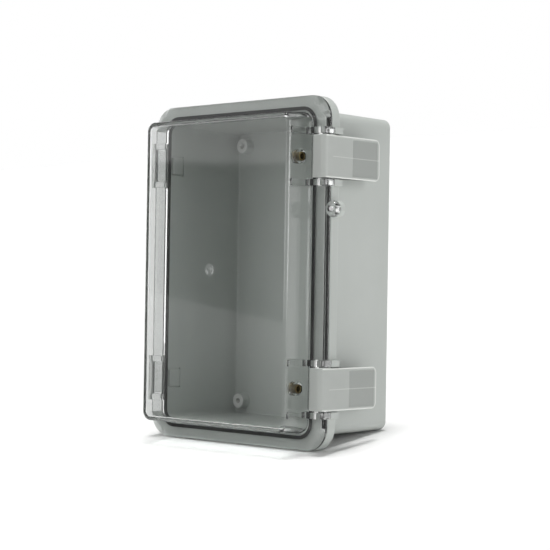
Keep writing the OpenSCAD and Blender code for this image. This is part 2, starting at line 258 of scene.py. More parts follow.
def ring_weights(arc_steps=9, side_cells=27):
    """Weights of half width, radius, half height and radius for each point of a rounded rectangle.

    On a corner with signs (sx, sz) at angle t the point is sx half width + (cos t - sx) radius,
    and the same with sin for the height. Points along a side lie between the ends of two corners.
    """
    turn = np.linspace(0, pi / 2, arc_steps + 1)
    corners = []
    for quarter, (sx, sz) in enumerate([(1, 1), (-1, 1), (-1, -1), (1, -1)]):
        angle = turn + quarter * pi / 2
        one = np.ones_like(angle)
        corners.append(np.column_stack([sx * one, np.cos(angle) - sx, sz * one, np.sin(angle) - sz]))
    loop = []
    for quarter in range(4):
        here, after = corners[quarter][-1], corners[(quarter + 1) % 4][0]
        share = np.linspace(0, 1, side_cells + 1)[1:-1, None]
        loop += [corners[quarter], here + (after - here) * share]
    return np.concatenate(loop)


RING = ring_weights()


def grid_faces(rows, columns, closed_rows=False):
    """Quads between neighbouring rows of a grid whose columns run round, by index."""
    row = np.arange(rows if closed_rows else rows - 1)[:, None]
    column = np.arange(columns)[None]
    after_row, after_column = (row + 1) % rows, (column + 1) % columns
    corners = [row * columns + column, row * columns + after_column,
               after_row * columns + after_column, after_row * columns + column]
    return np.stack(np.broadcast_arrays(*corners), -1).reshape(-1, 4).tolist()


def fan_faces(first, columns, tip):
    """Triangles from a ring of points to one tip."""
    ring = first + np.arange(columns)
    return np.column_stack([ring, np.roll(ring, -1), np.full(columns, tip)]).tolist()


def ring_shell(rows, closed=False):
    """Surface of rounded rectangles, one for each row of a profile.

    A row holds half width, half height, radius, centre x, centre z and depth, and a point is the centre plus
    the row's sizes times the ring weights. The first and last rows of an open profile are single points.
    """
    rows = np.asarray(rows, float)
    rings = rows if closed else rows[1:-1]
    x = rings[:, [0]] * RING[:, 0] + rings[:, [2]] * RING[:, 1] + rings[:, [3]]
    z = rings[:, [1]] * RING[:, 2] + rings[:, [2]] * RING[:, 3] + rings[:, [4]]
    y = np.broadcast_to(rings[:, [5]], x.shape)
    points = np.stack([x, y, z], -1).reshape(-1, 3)
    faces = grid_faces(len(rings), len(RING), closed)
    if not closed:
        tips = rows[[0, -1]][:, [3, 5, 4]]
        faces += fan_faces(0, len(RING), len(points))
        faces += fan_faces(len(points) - len(RING), len(RING), len(points) + 1)
        points = np.vstack([points, tips])
    return points, faces


def lathe(profile, centre, axis, steps=40, ripple=None, closed=False):
    """Surface of a profile of (radius, place along the axis) turned round an axis through the centre.

    Across the axis a point lies at radius (cos, sin) of its angle, and ripple(radius, along, angle) adds to
    the radius. An open profile starts and ends on the axis.
    """
    profile = np.asarray(profile, float)
    rings = profile if closed else profile[1:-1]
    angle = np.linspace(0, 2 * pi, steps, endpoint=False)[None]
    along = np.broadcast_to(rings[:, [1]], (len(rings), steps))
    radius = np.broadcast_to(rings[:, [0]], along.shape)
    if ripple:
        radius = radius + ripple(radius, along, angle)
    points = np.empty((len(rings), steps, 3))
    points[..., (axis + 1) % 3] = radius * np.cos(angle)
    points[..., (axis + 2) % 3] = radius * np.sin(angle)
    points[..., axis] = along
    points = points.reshape(-1, 3)
    faces = grid_faces(len(rings), steps, closed)
    if not closed:
        tips = np.zeros((2, 3))
        tips[:, axis] = profile[[0, -1], 1]
        faces += fan_faces(0, steps, len(points))
        faces += fan_faces(len(points) - steps, steps, len(points) + 1)
        points = np.vstack([points, tips])
    return points + np.asarray(centre), faces


def rounded_run(low, high, edge, steps=4, inner=()):
    """Stations along a straight run and how far the outline draws in there.

    At an end the station is edge (1 - cos t) from it and the outline draws in by edge (1 - sin t).
    """
    turn = np.linspace(0, pi / 2, steps + 1)
    start, drawn = edge * (1 - np.cos(turn)), edge * (1 - np.sin(turn))
    stations = np.concatenate([low + start, np.asarray(inner, float), high - start[::-1]])
    insets = np.concatenate([drawn, np.zeros(len(inner)), drawn[::-1]])
    return stations, insets


def prism(outline, stations, insets):
    """Closed outline in X and Y carried up along Z, drawn in along its own normals at each station.

    A point is the outline's point less the normal there times the inset. Flat caps close both ends.
    """
    outline = np.asarray(outline, float)
    ahead = np.roll(outline, -1, 0) - outline
    ahead = ahead / np.maximum(np.hypot(*ahead.T), TINY)[:, None]
    along = ahead + np.roll(ahead, 1, 0)
    normal = np.column_stack([along[:, 1], -along[:, 0]])
    normal = normal / np.maximum(np.hypot(*normal.T), TINY)[:, None]
    area = np.sum(outline[:, 0] * np.roll(outline[:, 1], -1) - outline[:, 1] * np.roll(outline[:, 0], -1))
    flat = outline[None] - np.sign(area) * normal[None] * np.asarray(insets)[:, None, None]
    points = np.empty((len(stations), len(outline), 3))
    points[..., :2] = flat
    points[..., 2] = np.asarray(stations)[:, None]
    count = len(outline)
    faces = grid_faces(len(stations), count)
    faces += [list(range(count)), list(range(count * (len(stations) - 1), count * len(stations)))]
    return points.reshape(-1, 3), faces


def joined(parts):
    """One list of points and faces out of several closed surfaces."""
    points, faces, first = [], [], 0
    for part_points, part_faces in parts:
        points.append(part_points)
        faces += [[first + corner for corner in face] for face in part_faces]
        first += len(part_points)
    return np.concatenate(points), faces


def mesh_object(name, surface):
    """Object whose mesh holds a surface, with its faces turned outwards."""
    points, faces = surface
    mesh = bpy.data.meshes.new(name)
    mesh.from_pydata(points.tolist(), [], faces)
    work = bmesh.new()
    work.from_mesh(mesh)
    bmesh.ops.recalc_face_normals(work, faces=work.faces)
    work.to_mesh(mesh)
    work.free()
    piece = bpy.data.objects.new(name, mesh)
    bpy.context.scene.collection.objects.link(piece)
    return piece


def moulded(name, body, steps):
    """One moulding: the body's surface, with surfaces joined on or cut away step by step."""
    piece = mesh_object(name, body)
    helpers = []
    for operation, surfaces in steps:
        helper = mesh_object(name + "_" + operation.lower(), joined(surfaces))
        step = piece.modifiers.new(operation, "BOOLEAN")
        step.operation = operation
        step.solver = "MANIFOLD"
        step.object = helper
        helpers.append(helper)
    shaped = bpy.data.meshes.new_from_object(piece.evaluated_get(bpy.context.evaluated_depsgraph_get()))
    piece.modifiers.clear()
    plain = piece.data
    piece.data = shaped
    bpy.data.meshes.remove(plain)
    for helper in helpers:
        spare = helper.data
        bpy.data.objects.remove(helper)
        bpy.data.meshes.remove(spare)
    shaped.name = name
    return piece


def flat_faces(mesh, least=120 * MM * MM, step=0.02 * MM):
    """Mask of the faces that lie in a broad plane.

    Faces alike in normal, and in offset to one step, are one plane, and their areas are added up.
    """
    count = len(mesh.polygons)
    normal, centre, area = np.empty(3 * count), np.empty(3 * count), np.empty(count)
    mesh.polygons.foreach_get("normal", normal)
    mesh.polygons.foreach_get("center", centre)
    mesh.polygons.foreach_get("area", area)
    normal = normal.reshape(-1, 3)
    offset = np.sum(normal * centre.reshape(-1, 3), axis=1)
    plane = np.column_stack([np.round(normal, 3), np.round(offset / step)])
    _, member = np.unique(plane, axis=0, return_inverse=True)
    member = member.reshape(-1)
    return np.bincount(member, area)[member] > least


def finished(piece, material, body, node, attributes=None, crease=34):
    """Give a piece its material, smooth shading that stays flat on flats, and its place in the frame."""
    mesh = piece.data
    for label, values in (attributes or {}).items():
        layer = mesh.attributes.new(label, "FLOAT", "POINT")
        layer.data.foreach_set("value", np.asarray(values, np.float32))
    mesh.materials.clear()
    mesh.materials.append(material)
    mesh.shade_smooth()
    mesh.set_sharp_from_angle(angle=radians(crease))
    mesh.polygons.foreach_set("use_smooth", ~flat_faces(mesh))
    flats = piece.modifiers.new("Flat faces", "WEIGHTED_NORMAL")
    flats.keep_sharp = True
    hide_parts(node)
    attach(piece, body)


# Profiles and outlines of the pieces

def turn_row(size, depth, inset=0.0):
    """Row of a ring profile: half width, half height and radius drawn in evenly, at a depth."""
    half_width, half_height, radius = size
    return [half_width - inset, half_height - inset, radius - inset, 0.0, 0.0, depth]


def disc_row(radius, depth, centre=(0.0, 0.0)):
    """Row of a ring profile that is a circle."""
    return [radius, radius, radius, centre[0], centre[1], depth]


def wall_rows(size, near, far, near_inset, far_inset):
    """Rows evenly between two depths of a drafted wall, without its ends."""
    return [(turn_row(size, near + (far - near) * share, near_inset + (far_inset - near_inset) * share), 0)
            for share in (0.25, 0.5, 0.75)]


def flange_size(sizes):
    """Half width, half height and radius of the flanges."""
    return sizes.flange_half, BASE_HIGH.z, sizes.flange_radius


def body_size(sizes):
    """Half width, half height and radius of the tray's body."""
    return sizes.flange_half - sizes.rim, BASE_HIGH.z - sizes.rim_end, sizes.body_radius


def room_size(sizes):
    """Half width, half height and radius of the room inside the tray."""
    return tuple(side - sizes.wall for side in body_size(sizes))


def window_size(sizes):
    """Half width, half height and radius of the window at its foot."""
    return sizes.flange_half - sizes.window_side, BASE_HIGH.z - sizes.window_end, sizes.window_radius


def tray_profile(sizes):
    """Section of the tray from the middle of the back, round the flange and in to the middle of the room."""
    body, flange, room = body_size(sizes), flange_size(sizes), room_size(sizes)
    flange_back = BASE_LOW.y + sizes.base_flange
    gate, sunk = 5 * MM, 0.4 * MM
    edge = sizes.soft_edge
    rear_edge, front_edge, foot_edge = 1.8 * edge, 1.4 * edge, 2 * edge
    back_margin, foot_margin, floor_margin = 4 * MM, 1.5 * MM, 10 * MM
    floor_radius = 2 * MM
    floor = (room[0] - floor_margin, room[1] - floor_margin, floor_radius)
    turns = [
        (disc_row(0, -sunk), 0),
        (disc_row(gate - sunk, -sunk), 0),
        (disc_row(gate, 0), 0),
        (turn_row(body, 0, sizes.body_draft + back_margin), 0),
        (turn_row(body, 0, sizes.body_draft), sizes.body_edge),
        (turn_row(body, flange_back), edge),
        (turn_row(flange, flange_back), rear_edge),
        (turn_row(flange, BASE_LOW.y), front_edge),
        (turn_row(room, BASE_LOW.y), edge / 2),
        (turn_row(room, -sizes.back, sizes.body_draft), foot_edge),
        (turn_row(room, -sizes.back, sizes.body_draft + foot_margin), 0),
        (turn_row(floor, -sizes.back), 0),
        (disc_row(0, -sizes.back), 0),
    ]
    return rounded(*zip(*turns))


def cover_profile(sizes):
    """Section of the cover from the gate mark on the window, round the flange and groove, and in again."""
    window, flange = window_size(sizes), flange_size(sizes)
    inner = tuple(side - sizes.window_wall for side in window)
    front, face, back = COVER_LOW.y, COVER_HIGH.y - sizes.cover_flange, COVER_HIGH.y
    ceiling = front + sizes.window_wall
    gate = (-2.1 * MM, 0.9 * MM)
    dip = 0.35 * MM
    # Share of the gate's radius, depth and rounding of each ring of the gate mark
    gate_rings = ((0.2, 0, 0.35 * MM), (0.45, dip, 0.35 * MM), (0.7, dip, 0.3 * MM), (1, 0, 0.6 * MM),
                  (1.4, 0, 0))
    front_margin, ceiling_margin = 4 * MM, 2 * MM
    bevel_edge = 0.7 * sizes.soft_edge
    fit = 0.03 * MM
    groove = (GASKET_HIGH.x - fit, GASKET_HIGH.z - fit, sizes.gasket_radius - fit)
    width = sizes.gasket_width - 2 * fit
    mark = [(disc_row(sizes.gate_radius * share, front + depth, gate), edge)
            for share, depth, edge in gate_rings]
    turns = [
        (disc_row(0, front, gate), 0),
        *mark,
        (turn_row(window, front, sizes.window_draft + front_margin), 0),
        (turn_row(window, front, sizes.window_draft), sizes.window_edge),
        *wall_rows(window, front, face, sizes.window_draft, 0),
        (turn_row(window, face), sizes.soft_edge),
        (turn_row(flange, face, sizes.cover_edge), bevel_edge),
        (turn_row(flange, face + sizes.cover_edge), bevel_edge),
        (turn_row(flange, back), sizes.soft_edge / 2),
        (turn_row(groove, back), 0),
        (turn_row(groove, GASKET_LOW.y + fit), 0),
        (turn_row(groove, GASKET_LOW.y + fit, width), 0),
        (turn_row(groove, back, width), 0),
        (turn_row(inner, back), sizes.soft_edge / 2),
        *wall_rows(inner, back, ceiling, 0, sizes.window_draft),
        (turn_row(inner, ceiling, sizes.window_draft), sizes.window_edge / 2),
        (turn_row(inner, ceiling, sizes.window_draft + ceiling_margin), 0),
        (disc_row(0, ceiling), 0),
    ]
    return rounded(*zip(*turns))


def cover_surface(sizes):
    """Cover section carried round, with its flange's bevel wider in the corners and finer on the ends.

    A point of the bevel draws in by its distance from the border times a share that rises softly into a
    corner. On the ends the share is negative, so the bevel draws back towards the border and the face.
    """
    points, faces = ring_shell(cover_profile(sizes))
    x, y, z = points.T
    face = COVER_HIGH.y - sizes.cover_flange
    half_width, half_height, radius = flange_size(sizes)
    past_x = np.maximum(np.abs(x) - half_width + radius, 0)
    past_z = np.maximum(np.abs(z) - half_height + radius, 0)
    reach = np.maximum(np.hypot(past_x, past_z), TINY)
    inside, behind = radius - reach, y - face
    zone, slack = sizes.cover_edge + sizes.soft_edge, 0.01 * MM
    near = (inside < zone) & (behind > -slack) & (behind < zone)
    fade = 4 * MM
    corner_share, end_share = 1.2, 0.5
    at_end = smooth_step(past_z / fade)
    in_corner = smooth_step(past_x / fade)
    drawn = np.where(near, at_end * (corner_share * in_corner - end_share * (1 - in_corner)), 0)
    x = x - np.sign(x) * past_x / reach * inside * drawn
    z = z - np.sign(z) * past_z / reach * inside * drawn
    y = y + np.maximum(behind, 0) * np.minimum(drawn, 0)
    return np.column_stack([x, y, z]), faces


def gasket_profile(sizes):
    """Section of the gasket ring, flat in its groove and round where it meets the tray."""
    outer = (GASKET_HIGH.x, GASKET_HIGH.z, sizes.gasket_radius)
    crown = 0.8 * MM
    turns = [
        (turn_row(outer, GASKET_LOW.y), 0),
        (turn_row(outer, GASKET_HIGH.y), crown),
        (turn_row(outer, GASKET_HIGH.y, sizes.gasket_width), crown),
        (turn_row(outer, GASKET_LOW.y, sizes.gasket_width), 0),
    ]
    return rounded(*zip(*turns), closed=True)


def rib_spans(sizes, outer):
    """Height spans of the four ribs on one side: a pair beside each latch or hinge, out to a distance."""
    near = outer - sizes.rib
    return [
        sorted((end * LATCH_PIN.z + side * near, end * LATCH_PIN.z + side * outer))
        for end in ENDS.values()
        for side in (-1, 1)
    ]


def block_outline(x_low, x_high, y_low, y_high, edge):
    """Rectangle in X and Y with rounded corners."""
    corners = [(x_low, y_low), (x_high, y_low), (x_high, y_high), (x_low, y_high)]
    return rounded(corners, [edge] * 4, steps=3, closed=True)


def ribs(outline, sizes, outer):
    """One outline as a rib at each of the four spans, with small rounded edges."""
    spans = rib_spans(sizes, outer)
    return [prism(outline, *rounded_run(low, high, sizes.soft_edge / 2)) for low, high in spans]


def cover_rib_outline(sizes):
    """Rib of the cover round the latch pin, with a round outer corner."""
    inner, outer = window_size(sizes)[0] - sizes.window_wall / 2, LATCH_HIGH.x
    front, back = LATCH_PIN.y - sizes.rib_radius, COVER_HIGH.y - TUCK
    corners = [(inner, back), (outer, back), (outer, front), (inner, front)]
    return rounded(corners, [0, sizes.soft_edge / 2, sizes.rib_radius, 0], steps=10, closed=True)


def window_rib_outline(sizes):
    """Rib on the side of the window, in line with a rib of the flange."""
    outer = window_size(sizes)[0]
    inner = outer - (sizes.window_wall + sizes.window_draft) / 2
    front, back = COVER_LOW.y + sizes.window_edge, COVER_HIGH.y - sizes.cover_flange / 2
    return block_outline(inner, outer, front, back, sizes.soft_edge / 2)


def cover_ear_outline(sizes):
    """Ear of the cover round the hinge pin."""
    inner = -window_size(sizes)[0] + sizes.window_wall / 2
    back = COVER_HIGH.y - TUCK
    radius = COVER_PIN.x - STRAP_LOW.x
    foot = [(COVER_PIN.x, back), (inner, back), (inner, COVER_PIN.y - radius)]
    return np.vstack([foot, arc(COVER_PIN, radius, -90, -270)])


def base_ear_outline(sizes):
    """Ear of the tray round the rear hinge pin."""
    inner = -body_size(sizes)[0] + sizes.wall / 2
    foot = [(inner, BASE_PIN.y + sizes.rib_radius), (inner, BASE_PIN.y - sizes.rib_radius)]
    return np.vstack([foot, arc(BASE_PIN, sizes.rib_radius, -90, -270)])


def edge_grooves(sizes, face):
    """Fine grooves beside the bevel of the cover's hinge side: above, between and below the hinges."""
    wide, deep, apart = 0.7 * MM, 0.6 * MM, 0.05 * MM
    edge = wide / 5
    border = -sizes.flange_half + sizes.cover_edge + apart
    outline = block_outline(border, border + wide, face - deep, face + deep, edge)
    straight = BASE_HIGH.z - sizes.flange_radius
    near, far = LATCH_PIN.z - EAR_END, LATCH_PIN.z + EAR_END
    spans = ((-straight, -far), (-near, near), (far, straight))
    return [prism(outline, *rounded_run(low, high, edge)) for low, high in spans]


def lug(sizes, front, back, edge):
    """Round lug with a rounded front edge, solid from front to back."""
    radius = sizes.lug_radius
    turns = [((0, back), 0), ((radius, back), sizes.soft_edge / 2), ((radius, front), edge), ((0, front), 0)]
    return lathe(rounded(*zip(*turns)), SEAL_LINE, Y_AXIS)


def countersink(sizes, front):
    """Cone round the mouth of the seal hole, used as a cut."""
    depth = 1 * MM
    outside, bottom = front - depth, front + depth
    profile = [(0, outside), (sizes.lug_hole + 2 * depth, outside), (sizes.lug_hole, bottom), (0, bottom)]
    return lathe(profile, SEAL_LINE, Y_AXIS, steps=48)


def bar(centre, radius, low, high, axis):
    """Plain round bar, joined on as a boss or used as a cut."""
    return lathe([(0, low), (radius, low), (radius, high), (0, high)], centre, axis, steps=48)


def post_place(sizes):
    """Distances of the posts from the middle of the back."""
    room = room_size(sizes)
    return room[0] - sizes.post_side, room[1] - sizes.post_end


def post_painted_light_mask(mesh, sizes):
    """Mask of painted light on the posts: 1 at their tops' level and in their holes, softly less behind it,
    0 elsewhere.
    """
    points = np.empty(3 * len(mesh.vertices))
    mesh.vertices.foreach_get("co", points)
    x, y, z = points.reshape(-1, 3).T
    place = post_place(sizes)
    level = 1 - smooth_step((y + sizes.back + sizes.post_height) / sizes.soft_edge)
    from_axis = np.hypot(np.abs(x) - place[0], np.abs(z) - place[1])
    # Pilot holes count as tops, so painted light covers the shade inside them
    level = np.where(from_axis < sizes.post_hole + sizes.soft_edge, 1, level)
    return np.where(from_axis < sizes.post_radius + sizes.soft_edge, level, 0)


def post(sizes, x, z):
    """Fixing post with a pilot hole and a rounded top."""
    top = -sizes.back - sizes.post_height
    turns = [
        ((0, -sizes.back / 2), 0),
        ((sizes.post_radius + sizes.soft_edge, -sizes.back / 2), 0),
        ((sizes.post_radius + sizes.soft_edge, -sizes.back), 0),
        ((sizes.post_radius, -sizes.back - 2 * sizes.soft_edge), 0),
        ((sizes.post_radius, top), sizes.soft_edge),
        ((sizes.post_hole, top), sizes.soft_edge / 2),
        ((sizes.post_hole, -sizes.back), 0),
        ((0, -sizes.back), 0),
    ]
    return lathe(rounded(*zip(*turns)), (x, 0, z), Y_AXIS)


def latch_outline(sizes):
    """Section of a latch: barrel, front block, leg with a rounded end, and hook."""
    outer, inner = LATCH_HIGH.x, LATCH_HIGH.x - sizes.leg
    front, rear = LATCH_LOW.y, LATCH_HIGH.y
    barrel = LATCH_PIN.y - front
    block_back = COVER_HIGH.y - sizes.cover_flange - sizes.relief
    lift = np.degrees(np.arcsin((block_back - LATCH_PIN.y) / barrel))
    hook_front = BASE_LOW.y + sizes.base_flange + sizes.hook_behind
    fine = 0.3 * MM
    spacing = 0.6 * MM
    turns = [
        ((LATCH_PIN.x - barrel, front), sizes.latch_nose),
        ((outer, front), sizes.latch_corner),
        ((outer, rear), fine),
        ((inner, rear), fine),
        ((inner, hook_front + sizes.hook), fine),
        ((inner - sizes.hook_depth, hook_front + sizes.hook / 2), fine),
        ((inner - sizes.hook_depth, hook_front), fine),
        ((inner, hook_front), fine),
        ((inner, block_back), fine),
    ]
    barrel_arc = arc(LATCH_PIN, barrel, lift, 180, steps=20)
    chain = [tuple(barrel_arc[-1])] + [point for point, _ in turns] + [tuple(barrel_arc[0])]
    sides = rounded(chain, [0] + [radius for _, radius in turns] + [0], steps=7)
    return refined(np.vstack([sides, barrel_arc[1:-1]]), spacing)


def latch_heights(sizes, half, edge):
    """Heights of a latch's sections above its middle, without its rounded edge.

    They lie close together beside the middle line, evenly on the straight, and by the sine of even angles
    round the lever end.
    """
    line = np.array([0.12, 0.25, 0.5]) * MM
    straight_start, before_sweep, before_edge = 1 * MM, 0.4 * MM, 0.05 * MM
    straight = np.linspace(straight_start, half - sizes.lever_radius - before_sweep, 8)
    turn = np.linspace(0, pi / 2, 12)[:-2]
    sweep = half - sizes.lever_radius * (1 - np.sin(turn))
    return np.concatenate([line, straight, sweep[sweep < half - edge - before_edge]])


def latch_surface(sizes, end):
    """Latch section carried up its height, with a rounded lever end, a thumb recess and a fine middle line.

    The lever end: behind a set place, depth is drawn towards it in the share that a circle of the lever
    radius leaves at that height. The recess and the line are depths times soft steps.
    """
    half = (LATCH_HIGH.z - LATCH_LOW.z) / 2
    edge, soft = 0.45 * MM, 0.5 * MM
    line_width, line_depth = 0.16 * MM, 0.05 * MM
    # Full width and fade of the painted highlight along the latch's edges, and its share at the nose
    lightened, fade, nose_share = 0.4 * MM, 0.6 * MM, 0.3
    inner = latch_heights(sizes, half, edge)
    stations, insets = rounded_run(-half, half, edge, inner=np.concatenate([-inner[::-1], [0], inner]))
    points, faces = prism(latch_outline(sizes), stations, insets)
    x, y, z = points.T
    corner = np.clip(np.abs(z) - (half - sizes.lever_radius), 0, sizes.lever_radius)
    hinge_line = LATCH_HIGH.y - 2 * sizes.lever_radius
    reach = sizes.lever_radius + np.sqrt(np.maximum(sizes.lever_radius ** 2 - corner ** 2, 0))
    share = reach / (2 * sizes.lever_radius)
    rear = y > hinge_line
    y = np.where(rear, hinge_line + (y - hinge_line) * share, y)
    thumb_rear = LATCH_HIGH.y - sizes.thumb_border
    thumb = smooth_step((y - thumb_rear + sizes.thumb_length) / soft) * smooth_step((thumb_rear - y) / soft)
    thumb = thumb * smooth_step((half - sizes.thumb_border - np.abs(z)) / soft)
    outside = x > LATCH_HIGH.x - sizes.leg / 4
    thumb = np.where(outside, thumb, 0)
    # Fine middle line: a shallow groove, also a mask for a painted highlight
    line = np.where(outside & (y > LATCH_LOW.y + 2 * sizes.latch_corner), np.exp(-(z / line_width) ** 2), 0)
    x = x - thumb * sizes.thumb_depth - line * line_depth
    lever_end = hinge_line + 2 * sizes.lever_radius * share
    border = np.minimum(half - np.abs(z), lever_end - y)
    nose = np.hypot(x - LATCH_PIN.x + LATCH_PIN.y - LATCH_LOW.y, y - LATCH_LOW.y)
    # Painted highlight along the top, bottom and lever end edges, and at the nose
    edges = np.where(outside, 1 - smooth_step((border - lightened) / fade), 0)
    edges = np.maximum(edges, nose_share * (1 - smooth_step((nose - fade) / fade)))
    points = np.column_stack([x, y, z + end * LATCH_PIN.z])
    # Masks: painted highlight on the edges and middle line; the thumb recess, which also takes painted shade
    return (points, faces), {"edge": edges, "thumb": thumb, "line": line}


def strap_outline(sizes):
    """Section of a hinge strap: a barrel at each end of a leg."""
    outer = STRAP_LOW.x
    inner = outer + sizes.strap
    front = COVER_PIN.x - outer
    rear = STRAP_HIGH.y - BASE_PIN.y
    front_open = np.degrees(np.arccos((inner - COVER_PIN.x) / front))
    rear_open = np.degrees(np.arccos((inner - BASE_PIN.x) / rear))
    steps, spacing = 36, 1 * MM
    barrels = [arc(COVER_PIN, front, front_open, -180, steps), arc(BASE_PIN, rear, 180, -rear_open, steps)]
    return refined(np.vstack(barrels), spacing)


def strap_surface(sizes, end):
    """Strap section carried up its height with rounded ends."""
    half = (STRAP_HIGH.z - STRAP_LOW.z) / 2
    edge = 0.4 * MM
    inner = np.linspace(-half, half, 9)[1:-1]
    stations, insets = rounded_run(-half, half, edge, inner=inner)
    points, faces = prism(strap_outline(sizes), stations, insets)
    return points + np.array([0, 0, end * LATCH_PIN.z]), faces


def pin_surface(place, end, outer):
    """Drawn pin with domed ends that stand just proud of the ribs."""
    proud = 0.15 * MM
    dome = 0.35 * MM
    half = outer + proud
    turns = [((0, -half), 0), ((PIN_RADIUS, -half), dome), ((PIN_RADIUS, half), dome), ((0, half), 0)]
    return lathe(rounded(*zip(*turns)), (place.x, place.y, end * LATCH_PIN.z), Z_AXIS, steps=28)


def insert_surface(sizes, end):
    """Turned insert with a knurled outside and a threaded hole.

    Knurl: the outer radius rises and falls with the angle. Thread: the hole's radius follows a triangle wave
    of the place along the axis plus the angle's share of a turn.
    """
    fit = 0.04 * MM
    radius = INSERT_RADIUS + fit
    face, back = INSERT_HIGH.x, INSERT_LOW.x
    chamfer = 0.3 * MM
    pitch, thread_depth = 0.5 * MM, 0.22 * MM
    ridges, ridge_depth = 16, 0.03 * MM
    in_hole, on_outside = 1.01 * sizes.insert_hole, 0.99 * radius
    rows, steps = 61, 72
    depths = np.linspace(face - chamfer, back + chamfer, rows)
    hole = np.column_stack([np.full(rows, sizes.insert_hole), depths])
    outside = [(sizes.insert_hole + chamfer, back), (radius - chamfer, back), (radius, back + chamfer),
               (radius, face - chamfer), (radius - chamfer, face), (sizes.insert_hole + chamfer, face)]
    profile = np.vstack([outside, hole])

    def thread_and_knurl(ring, along, angle):
        """What the thread adds to the radius in the hole and the knurl takes from it outside."""
        turns = along / pitch + angle / (2 * pi)
        thread = np.abs(2 * (turns - np.floor(turns)) - 1) * thread_depth
        knurl = np.abs(np.sin(ridges * angle)) * ridge_depth
        return np.where(ring < in_hole, thread, np.where(ring > on_outside, -knurl, 0))

    centre = (0, INSERT_Y, end * LATCH_PIN.z)
    # Mask of the thread, which takes painted shade
    bore = np.repeat(profile[:, 0] < in_hole, steps)
    return lathe(profile, centre, X_AXIS, steps, ripple=thread_and_knurl, closed=True), {"bore": bore}


# Node groups and materials

def wire(tree, *pairs):
    """Links of a node tree, each from an output to an input."""
    for source, target in pairs:
        tree.links.new(source, target)


def node(tree, kind, **settings):
    """Node of a kind with its settings.

    A setting that names an input, with underscores for spaces, gives its value.
    """
    made = tree.nodes.new(kind)
    for key, value in settings.items():
        label = key.replace("_", " ")
        if label in made.inputs:
            made.inputs[label].default_value = value
        else:
            setattr(made, key, value)
    return made


def group(name, inputs, outputs):
    """Empty node group with float inputs (name, default) and float outputs."""
    tree = bpy.data.node_groups.new(name, "ShaderNodeTree")
    for label, default in inputs:
        socket = tree.interface.new_socket(label, in_out="INPUT", socket_type="NodeSocketFloat")
        socket.default_value = default
    for label in outputs:
        tree.interface.new_socket(label, in_out="OUTPUT", socket_type="NodeSocketFloat")
    return tree, tree.nodes.new("NodeGroupInput"), tree.nodes.new("NodeGroupOutput")


def moulded_grain():
    """Group: fine moulded grain as a height, and broad soft clouds as a tone, both on object coordinates."""
    name = "Moulded grain"
    if name in bpy.data.node_groups:
        return bpy.data.node_groups[name]
    tree, entry, result = group(name, [("Grain scale", 2600.0), ("Cloud scale", 26.0)], ["Height", "Tone"])
    place = node(tree, "ShaderNodeTexCoord")
    fine = node(tree, "ShaderNodeTexNoise", Detail=3.0, Roughness=0.6)
    cloud = node(tree, "ShaderNodeTexNoise", Detail=5.0, Roughness=0.55)
    spread = node(tree, "ShaderNodeMapRange", From_Min=0.3, From_Max=0.7)
    wire(tree,
         (place.outputs["Object"], fine.inputs["Vector"]),
         (place.outputs["Object"], cloud.inputs["Vector"]),
         (entry.outputs["Grain scale"], fine.inputs["Scale"]),
         (entry.outputs["Cloud scale"], cloud.inputs["Scale"]),
         (cloud.outputs[0], spread.inputs["Value"]),
         (fine.outputs[0], result.inputs["Height"]),
         (spread.outputs[0], result.inputs["Tone"]))
    return tree


def settled_dust():
    """Group: specks and a film of dust that lie on faces that look up, as a mask."""
    name = "Settled dust"
    if name in bpy.data.node_groups:
        return bpy.data.node_groups[name]
    tree, entry, result = group(name, [("Speck scale", 900.0), ("Amount", 0.3)], ["Mask"])
    place = node(tree, "ShaderNodeTexCoord")
    facing = node(tree, "ShaderNodeSeparateXYZ")
    geometry = node(tree, "ShaderNodeNewGeometry")
    speck = node(tree, "ShaderNodeTexNoise", Detail=4.0, Roughness=0.7)
    level = node(tree, "ShaderNodeMapRange", From_Min=0.52, From_Max=0.75)
    up = node(tree, "ShaderNodeMapRange", From_Min=-0.3)
    both = node(tree, "ShaderNodeMath", operation="MULTIPLY")
    amount = node(tree, "ShaderNodeMath", operation="MULTIPLY")
    wire(tree,
         (place.outputs["Object"], speck.inputs["Vector"]),
         (entry.outputs["Speck scale"], speck.inputs["Scale"]),
         (speck.outputs[0], level.inputs["Value"]),
         (geometry.outputs["Normal"], facing.inputs[0]),
         (facing.outputs["Z"], up.inputs["Value"]),
         (level.outputs[0], both.inputs[0]),
         (up.outputs[0], both.inputs[1]),
         (both.outputs[0], amount.inputs[0]),
         (entry.outputs["Amount"], amount.inputs[1]),
         (amount.outputs[0], result.inputs["Mask"]))
    return tree


def first_of(tree, kind):
    """First node of a type in a tree."""
    return next(made for made in tree.nodes if made.type == kind)


def new_material(name):
    """Material with a Principled shader and its output, and nothing else."""
    material = bpy.data.materials.new(name)
    material.use_nodes = True
    tree = material.node_tree
    return material, tree, first_of(tree, "BSDF_PRINCIPLED")


def place_group(tree, source, **values):
    """Group node in a material with its input values."""
    return node(tree, "ShaderNodeGroup", node_tree=source, **values)


def mask(tree, name):
    """Value of one of the piece's own attributes."""
    return node(tree, "ShaderNodeAttribute", attribute_name=name).outputs["Fac"]


def shaded(colour, share):
    """Colour made darker or lighter by a share."""
    return [part * share for part in colour]


def mix_colour(tree, share, low, high):
    """Colour between two others by a share; a colour is a socket or three numbers."""
    mix = node(tree, "ShaderNodeMix", data_type="RGBA")
    wire(tree, (share, mix.inputs[0]))
    # The node lists its sockets for floats and vectors before those for colours
    first, second, mixed = mix.inputs[6], mix.inputs[7], mix.outputs[2]
    for colour, socket in ((low, first), (high, second)):
        if isinstance(colour, bpy.types.NodeSocket):
            wire(tree, (colour, socket))
        else:
            socket.default_value = (*colour, 1.0)
    return mixed


def ranged(tree, value, low, high):
    """Value from 0 to 1 brought into a range."""
    span = node(tree, "ShaderNodeMapRange", To_Min=low, To_Max=high)
    wire(tree, (value, span.inputs["Value"]))
    return span.outputs[0]


